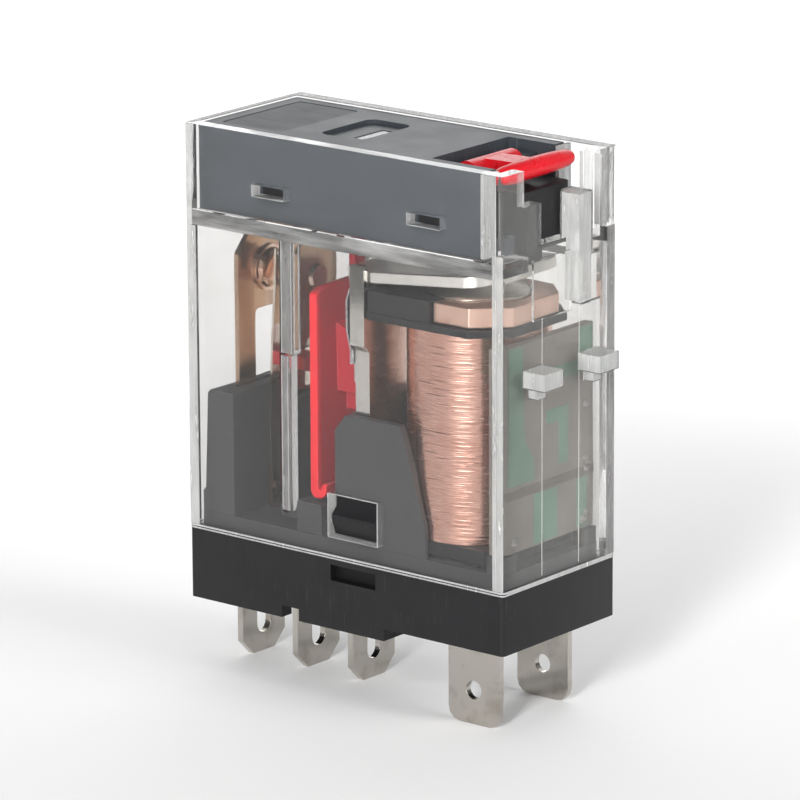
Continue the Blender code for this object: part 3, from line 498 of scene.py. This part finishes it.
def slab(shape, outline, low, high):
    """Adds a closed slab between two places along X. Its outline is (Y, Z) pairs in the case frame."""
    ends = [[shape.verts.new(case_point(x, y, z)) for y, z in outline] for x in (low, high)]
    ring_faces(shape, ends[0], ends[1])
    shape.faces.new(ends[0])
    shape.faces.new(ends[1][::-1])


def oblong(y, z):
    """The outline between pairs of places along Y and Z."""
    return [(y[0], z[0]), (y[1], z[0]), (y[1], z[1]), (y[0], z[1])]


def make_board_mask():
    """Green mask over the board's copper, a little proud of the bare sheet, on both faces."""
    low, high = case_box("circuit_board")
    thick = 0.03
    margin = 0.15
    left, right, foot, top = low.y + margin, high.y - margin, low.z + margin, high.z - margin
    neck = [
        (left + 0.35, top), (left + 0.35, 15.2), (left + 0.2, 12.7), (-1.7, 12.7), (-1.9, 14.4),
        (-2.7, 15.4), (-2.9, 16.2), (-3.1, 19.2), (-3.1, top),
    ]
    hook = [(-0.4, 16.4), (-0.4, 17.4), (2.2, 17.4), (2.2, 13.2), (1.1, 13.2), (1.1, 16.4)]
    foot_pad = [(-1.8, foot), (-1.8, 11.6), (0.9, 11.6), (0.9, foot)]
    far_track = [(3.2, foot), (3.2, 11.6), (4.4, 11.6), (4.4, foot)]
    upper = [(0.2, 19.4), (0.2, 20.4), (3.4, 20.4), (3.4, top), (right, top), (right, 19.4)]
    shape = bmesh.new()
    for outline in (neck, hook, foot_pad, far_track, upper):
        slab(shape, outline, high.x, high.x + thick)
        slab(shape, [(-y, z) for y, z in outline], low.x - thick, low.x)
    piece("board_mask", shape, MASK)


def make_board_band():
    """The dark strip across the board, above its foot."""
    low, high = case_box("circuit_board")
    margin = 0.05
    thick = 0.05
    heights = (11.72, 12.35)
    shape = bmesh.new()
    slab(shape, oblong((low.y + margin, high.y - margin), heights), high.x, high.x + thick)
    piece("board_band", shape, BAND)


def dome(shape, x, y, z, radius, height):
    """Adds a solder joint that rises along X: a cone with a hollow flank and a round tip.

    Its profile is pairs of shares, of the height along X and of the radius.
    """
    profile = [(0.0, 1.0), (0.12, 0.78), (0.35, 0.52), (0.7, 0.36), (0.92, 0.22), (1.0, 0.08)]
    segments = 20
    rows = []
    for along, share in profile:
        rows.append([
            shape.verts.new(case_point(
                x + along * height,
                y + radius * share * math.cos(math.tau * i / segments),
                z + radius * share * math.sin(math.tau * i / segments),
            ))
            for i in range(segments)
        ])
    for lower, upper in zip(rows, rows[1:]):
        ring_faces(shape, lower, upper)
    shape.faces.new(rows[0])
    shape.faces.new(rows[-1][::-1])


def make_solder():
    """Solder joints of the coil tabs and of the small parts' leads, on the board's outer face."""
    face = case_box("circuit_board")[1].x + 0.02
    tab_z = case_box("coil_terminal_near")[1].z + 0.75
    tab_y = 4.0
    lead_inset = 0.15
    lamp_lead_inset = 0.5
    tab_joint, lead_joint, lamp_joint = (0.45, 0.25), (0.32, 0.2), (0.3, 0.2)
    shape = bmesh.new()
    for y in (-tab_y, tab_y):
        dome(shape, face, y, tab_z, *tab_joint)
    for name in ("resistor", "diode"):
        low, high = case_box(name)
        for z in (low.z + lead_inset, high.z - lead_inset):
            dome(shape, face, (low.y + high.y) / 2, z, *lead_joint)
    low, high = case_box("led")
    for y in (low.y + lamp_lead_inset, high.y - lamp_lead_inset):
        dome(shape, face, y, (low.z + high.z) / 2, *lamp_joint)
    obj = piece("solder_joints", shape, SOLDER)
    obj.data.shade_smooth()


def make_wire(name, points, radius, look):
    """A smooth round wire through points in the case frame."""
    data = bpy.data.curves.new(name, "CURVE")
    data.dimensions = "3D"
    data.bevel_depth = radius * MM
    data.bevel_resolution = 3
    data.use_fill_caps = True
    line = data.splines.new("BEZIER")
    line.bezier_points.add(len(points) - 1)
    for knot, point in zip(line.bezier_points, points):
        knot.co = case_point(*point)
        knot.handle_left_type = "AUTO"
        knot.handle_right_type = "AUTO"
    data.materials.append(look)
    obj = bpy.data.objects.new(name, data)
    bpy.context.scene.collection.objects.link(obj)
    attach(obj, "housing")


def make_coil_leads():
    """The two ends of the winding, led out over the lower flange to the tabs."""
    radius = 0.09
    for side, name in ((-1, "coil_lead_near"), (1, "coil_lead_far")):
        points = [
            (10.9, side * 3.05, 9.4),
            (11.35, side * 3.2, 8.7),
            (12.0, side * 3.75, 7.9),
            (12.42, side * 4.0, 7.3),
            (12.44, side * 4.0, 6.9),
        ]
        make_wire(name, points, radius, WIRE)


def box_faces(shape, x, y, z):
    """Adds a closed box between pairs of places along X, Y and Z in the case frame."""
    corners = ((x[0], y[0]), (x[1], y[0]), (x[1], y[1]), (x[0], y[1]))
    lower, upper = ([shape.verts.new(case_point(px, py, pz)) for px, py in corners] for pz in z)
    ring_faces(shape, lower, upper)
    shape.faces.new(lower[::-1])
    shape.faces.new(upper)


def boxes_piece(name, boxes, look):
    """Boxes in the case frame, joined into one piece."""
    shape = bmesh.new()
    for x, y, z in boxes:
        box_faces(shape, x, y, z)
    piece(name, shape, look)


def make_corner_haze():
    """Where light gathers in the ends of the near wall and in the far corner of the coil end."""
    under = 0.05
    thick = 0.04
    gap = 0.02
    wide, contact_end_wide, wide_above_ceiling = 0.98, 0.9, 0.56
    below_rim = 0.1
    near = (-SIDE + under, -SIDE + under + thick)
    boxes_piece("corner_haze", [
        ((END - wide, END - under), near, (HAZE_FOOT, END_WALL_TOP)),
        ((-END + under, -END + contact_end_wide), near, (HAZE_FOOT, CEILING)),
        ((-END + under, -END + wide_above_ceiling), near, (CEILING + gap, TOP - below_rim)),
    ], LIT_HAZE)
    boxes_piece("far_corner_haze", [
        ((END - under - thick, END - under), (SIDE - wide, SIDE - under), (HAZE_FOOT, END_WALL_TOP)),
    ], DIM)


def make_top_haze():
    """The lit far wall beside the test lever, and the streaky edge of the cover's inner ceiling, both
    painted light where the clear cover catches it.
    """
    beside_lever = (END - 2.5, END - 1.0)
    far_wall = (SIDE - 0.95, SIDE - 0.91)
    boxes_piece("far_wall_haze", [(beside_lever, far_wall, (END_WALL_TOP, TOP - 0.6))], EDGE)
    along = (-END + 0.6, END - 1.0)
    near_wall = (-SIDE + 0.05, -SIDE + 0.09)
    boxes_piece("ceiling_glow", [(along, near_wall, (CEILING + 0.05, CEILING + 1.16))], SHELF)


def make_end_films():
    """Cloudy layers in the coil end's wall: one below its cut edge, and one behind each of its two steps."""
    depth = (END - 0.52, END - 0.5)
    near = -SIDE + 0.3
    gap = 0.02
    film_top, step_foot = END_WALL_TOP - 0.1, END_WALL_TOP - 0.08
    first_step_y, second_step_y = -4.2, -2.2
    first_step_top, second_step_top = TOP - 0.6, 32.8
    boxes_piece("end_films", [
        (depth, (near, SIDE - SIDE_WALL), (HAZE_FOOT, film_top)),
        (depth, (near, first_step_y), (step_foot, first_step_top)),
        (depth, (first_step_y + gap, second_step_y), (step_foot, second_step_top)),
    ], FILM)


def make_rim_haze():
    """The cover's open rim at the contact end and along the far side."""
    z = (TOP - 0.05, TOP + 0.01)
    boxes_piece("rim_haze", [
        ((-END, -END + CONTACT_END_WALL), (-SIDE + 0.3, SIDE), z),
        ((-END + CONTACT_END_WALL, END), (SIDE - SIDE_WALL, SIDE), z),
    ], DIM)


def make_ribs():
    """Dim faces of the barrier rib's two parts, on both sides, with a light line down each edge that is a
    painted highlight.
    """
    rib_y = 5.45
    # How far out the faces and the lines reach and how far in, as shares of rib_y.
    face_back, line_front, line_back = 0.985, 1.002, 0.97
    line = 0.08
    parts = ((-6.22, -5.58, (7.9, 19.4)), (-6.2, -5.2, (19.6, 27.9)))
    faces, lines = [], []
    for near in (-rib_y, rib_y):
        for left, right, z in parts:
            faces.append(((left, right), sorted((near, near * face_back)), z))
            for x in (left, right - line):
                lines.append(((x, x + line), sorted((near * line_front, near * line_back)), z))
    boxes_piece("rib_haze", faces, DIM)
    boxes_piece("rib_lines", lines, EDGE)


def make_tongue_and_hooks():
    """Light in the thick tongue of the coil end's wall, and in the two hooks that stand out from it."""
    tongue_y, tongue_z = (1.4, 2.8), (25.2, 32.9)
    boxes_piece("tongue_haze", [((END - 0.9, END + 0.6), tongue_y, tongue_z)], LIT_HAZE)
    start = END + 0.05
    head_end, head_half, head_z = END + 1.9, 1.04, (20.06, 21.24)
    neck_end, neck_half, neck_z = END + 0.84, 0.44, (19.2, 20.0)
    hooks = (-HOOK_Y, HOOK_Y)
    heads = [((start, head_end), (y - head_half, y + head_half), head_z) for y in hooks]
    necks = [((start, neck_end), (y - neck_half, y + neck_half), neck_z) for y in hooks]
    boxes_piece("hook_haze", heads + necks, LIT_HAZE)


def cut_faces(x, y, z):
    """The pale left and lower faces of an opening that is cut through a side wall: painted light where the
    faces catch it.
    """
    thick = 0.05
    return [((x[0] - thick, x[0]), y, z), (x, y, (z[0] - thick, z[0]))]


def make_latch_frames():
    """The pale cut faces round the two latch windows, with fine lines along their other two edges, all
    painted light.
    """
    x, z = (-1.4, 3.1), (6.9, 10.1)
    thick = 0.05
    line = 0.1
    inset = 0.02
    boxes = []
    for y in ((-SIDE + inset, -SIDE + SIDE_WALL - inset), (SIDE - SIDE_WALL + inset, SIDE - inset)):
        outer = (y[0], y[0] + line) if y[0] < 0 else (y[1] - line, y[1])
        boxes += cut_faces(x, y, z)
        boxes += [((x[1], x[1] + thick), outer, z), (x, outer, (z[1], z[1] + thick))]
    boxes_piece("latch_frames", boxes, LIT_HAZE)


def make_slot_details():
    """The four side slots: pale cut faces, which are painted light, and the dark faces of the insert's nibs
    inside them, which are painted shade.
    """
    centres = (-6.75, 7.45)
    half = 1.48
    inset = 0.03
    nib_y = 5.97
    nib_left, nib_right = 0.83, 1.33
    slot_z, nib_z = (30.95, 31.8), (31.11, 31.64)
    frames, nibs = [], []
    for centre in centres:
        for sign in (-1, 1):
            y = sorted((sign * (SIDE - inset), sign * (SIDE - SIDE_WALL + inset)))
            frames += cut_faces((centre - half, centre + half), y, slot_z)
            nib = (centre - nib_left, centre + nib_right)
            nibs.append((nib, sorted((sign * nib_y, sign * (nib_y + inset))), nib_z))
    boxes_piece("slot_frames", frames, LIT_HAZE)
    # Painted shade: dark skins over the insert's grey nibs, deep in the slots.
    boxes_piece("nib_faces", nibs, COAL)


def make_pry_faces():
    """The dark floors of the two recesses in the base, where a blade lifts the cover: painted shade, as they
    lie in shadow.
    """
    x, z = (-1.18, 2.93), (3.67, 4.81)
    inner, outer = 5.91, 5.94
    floors = [(x, sorted((sign * inner, sign * outer)), z) for sign in (-1, 1)]
    boxes_piece("pry_faces", floors, SHADE)


def make_window_lens():
    """The pale lens in the indicator's window."""
    x, y, z = (-2.73, -1.87), (-1.62, 1.62), (34.6, 35.02)
    boxes_piece("window_lens", [(x, y, z)], EDGE)


def make_posts():
    """Pale ends of the insert's two side walls, which the thick cover corners light up."""
    insert = case_box("top_insert")[1]
    thick = 0.3
    wall_y = (4.4, insert.y - 0.05)
    near, far = insert.x + 0.02, insert.x - 1.47
    z = (29.3, insert.z - 0.1)
    boxes_piece("lit_posts", [
        ((near, near + thick), (-wall_y[1], -wall_y[0]), z),
        ((far, far + thick), wall_y, z),
    ], LIT_HAZE)


def rounded_outline(half_x, half_y, radius, steps=6):
    """Points round a rectangle with round corners."""
    points = []
    for quarter, (sx, sy) in enumerate(((1, 1), (-1, 1), (-1, -1), (1, -1))):
        for step in range(steps + 1):
            angle = math.pi / 2 * (quarter + step / steps)
            points.append((
                sx * (half_x - radius) + radius * math.cos(angle),
                sy * (half_y - radius) + radius * math.sin(angle),
            ))
    return points


def make_seam():
    """Two light lines where the cover stands on the base, and the pale band between them at the coil end:
    painted light that the cover's edge and end wall catch.
    """
    proud = 0.02
    deep = 0.1
    corner = 0.32
    lower_line, upper_line = (0.0, 0.09), (0.19, 0.30)
    half_x, half_y = CASE_HALF_LENGTH + proud, SIDE + proud
    shape = bmesh.new()
    for foot, top in (lower_line, upper_line):
        rows = []
        for z, inset in ((foot, 0.0), (top, 0.0), (top, deep), (foot, deep)):
            rows.append([
                shape.verts.new(case_point(x, y, COVER_LOW.z + z))
                for x, y in rounded_outline(half_x - inset, half_y - inset, corner - inset)
            ])
        for lower, upper in zip(rows, rows[1:] + rows[:1]):
            ring_faces(shape, lower, upper)
    piece("cover_seam", shape, EDGE)
    boxes_piece("seam_band", [
        ((half_x - 0.03, half_x - 0.01), (-6.1, 6.1), (COVER_LOW.z, COVER_LOW.z + upper_line[1])),
    ], LIT_HAZE)


def make_edge_lines():
    """Fine light lines along the cover, painted highlights: two down the end wall, and two beside its near
    and far corners.
    """
    half = 0.025
    proud = 0.02
    wall_places, wall_z = (-2.05, 2.22), (COVER_LOW.z + 0.6, 24.6)
    corner_x, corner_z = (END - 0.66, END - 0.6), (COVER_LOW.z + 0.3, 34.9)
    boxes = [((END - proud, END + proud), (y - half, y + half), wall_z) for y in wall_places]
    for side in (-1, 1):
        y = side * SIDE
        across = sorted((y - side * proud, y + side * 0.01))
        boxes.append((corner_x, across, corner_z))
    boxes_piece("cover_edge_lines", boxes, EDGE)


def make_panel_gap():
    """The dark gap all round the label panel."""
    low, high = case_box("label_panel")
    wide = 0.13
    top = high.z + 0.012
    z = (top - 0.1, top)
    boxes_piece("panel_gap", [
        ((low.x - wide, high.x + wide), (low.y - wide, low.y), z),
        ((low.x - wide, high.x + wide), (high.y, high.y + wide), z),
        ((low.x - wide, low.x), (low.y, high.y), z),
        ((high.x, high.x + wide), (low.y, high.y), z),
    ], COAL)


make_coil()
make_corner_haze()
make_top_haze()
make_end_films()
make_rim_haze()
make_ribs()
make_tongue_and_hooks()
make_latch_frames()
make_slot_details()
make_pry_faces()
make_window_lens()
make_posts()
make_seam()
make_edge_lines()
make_panel_gap()
make_board_mask()
make_board_band()
make_solder()
make_coil_leads()

# ---------------------------------------------------------------- stage


def direction(azimuth, elevation):
    """The way from the relay at this azimuth and elevation, in degrees. Azimuth 0 is the near side."""
    turn, rise = math.radians(azimuth), math.radians(elevation)
    return Vector((math.sin(turn) * math.cos(rise), -math.cos(turn) * math.cos(rise), math.sin(rise)))


def make_floor():
    """A plain square floor. Its half side is in metres."""
    half = 1.5
    corners = [(-half, -half, 0), (half, -half, 0), (half, half, 0), (-half, half, 0)]
    mesh = bpy.data.meshes.new("floor")
    mesh.from_pydata(corners, [], [(0, 1, 2, 3)])
    floor = bpy.data.objects.new("floor", mesh)
    bpy.context.scene.collection.objects.link(floor)
    mesh.materials.append(floor_paint())


def soft_box(name, width, height, power):
    """A rectangular lamp, with its sides in metres and its power in watts."""
    data = bpy.data.lights.new(name, "AREA")
    data.shape = "RECTANGLE"
    data.size = width
    data.size_y = height
    data.energy = power
    lamp = bpy.data.objects.new(name, data)
    bpy.context.scene.collection.objects.link(lamp)
    lamp.visible_transmission = False
    return lamp


def make_lamp(name, azimuth, elevation, width, height, power):
    """A soft box that looks at the middle of the relay."""
    distance = 0.7
    middle = case_point(0, 0, 15)
    lamp = soft_box(name, width, height, power)
    away = direction(azimuth, elevation)
    lamp.location = middle + away * distance
    lamp.rotation_mode = "QUATERNION"
    lamp.rotation_quaternion = (-away).to_track_quat("-Z", "Y")


def make_sweep_lamp():
    """A wide soft box that looks down on the floor behind the relay."""
    lamp = soft_box("sweep", width=0.5, height=0.5, power=0.85)
    turn = math.radians(219)
    reach, rise = 0.32, 0.1
    lamp.location = (math.sin(turn) * reach, -math.cos(turn) * reach, rise)
    lamp.rotation_euler = (0, 0, turn)


def make_world():
    """A grey studio, lightest near the horizon."""
    world = bpy.data.worlds.new("studio")
    bpy.context.scene.world = world
    world.use_nodes = True
    tree = world.node_tree
    background = tree.nodes["Background"]
    place = tree.nodes.new("ShaderNodeTexCoord")
    split = tree.nodes.new("ShaderNodeSeparateXYZ")
    ramp = tree.nodes.new("ShaderNodeValToRGB")
    for element, position, grey in zip(ramp.color_ramp.elements, (0.15, 0.6), (1.0, 0.35)):
        element.position = position
        element.color = (grey, grey, grey, 1)
    tree.links.new(place.outputs["Generated"], split.inputs["Vector"])
    tree.links.new(split.outputs["Z"], ramp.inputs["Fac"])
    tree.links.new(ramp.outputs["Color"], background.inputs["Color"])
    background.inputs["Strength"].default_value = 0.2


CAMERA_AZIMUTH, CAMERA_ELEVATION, CAMERA_ROLL = 39.017, 15.148, -0.311
CAMERA_TARGET = (0.022, 0.018, 15.857)
CAMERA_DISTANCE = 424.384
CAMERA_LENS = 265.49


def make_camera():
    """A long lens that looks down at the near side and the coil end. Its angles are in degrees."""
    turn, roll = math.radians(CAMERA_AZIMUTH), math.radians(CAMERA_ROLL)
    back = direction(CAMERA_AZIMUTH, CAMERA_ELEVATION)
    right = Vector((math.cos(turn), math.sin(turn), 0))
    up = back.cross(right)
    side = right * math.cos(roll) + up * math.sin(roll)
    top = up * math.cos(roll) - right * math.sin(roll)
    data = bpy.data.cameras.new("camera")
    data.sensor_width = 36
    data.lens = CAMERA_LENS
    data.clip_start = 0.01
    data.clip_end = 10
    camera = bpy.data.objects.new("camera", data)
    bpy.context.scene.collection.objects.link(camera)
    place = case_point(*CAMERA_TARGET) + back * CAMERA_DISTANCE * MM
    camera.matrix_world = Matrix.Translation(place) @ Matrix((side, top, back)).transposed().to_4x4()
    bpy.context.scene.camera = camera


make_floor()
make_world()
make_lamp("front", azimuth=19, elevation=15, width=0.12, height=0.55, power=6.5)
make_lamp("right", azimuth=95, elevation=20, width=0.3, height=0.4, power=2.6)
make_lamp("top", azimuth=20, elevation=80, width=0.4, height=0.4, power=0.7)
make_lamp("back", azimuth=219, elevation=20, width=0.9, height=0.2, power=0.8)
make_sweep_lamp()
make_camera()
bpy.context.scene.view_settings.view_transform = "Standard"
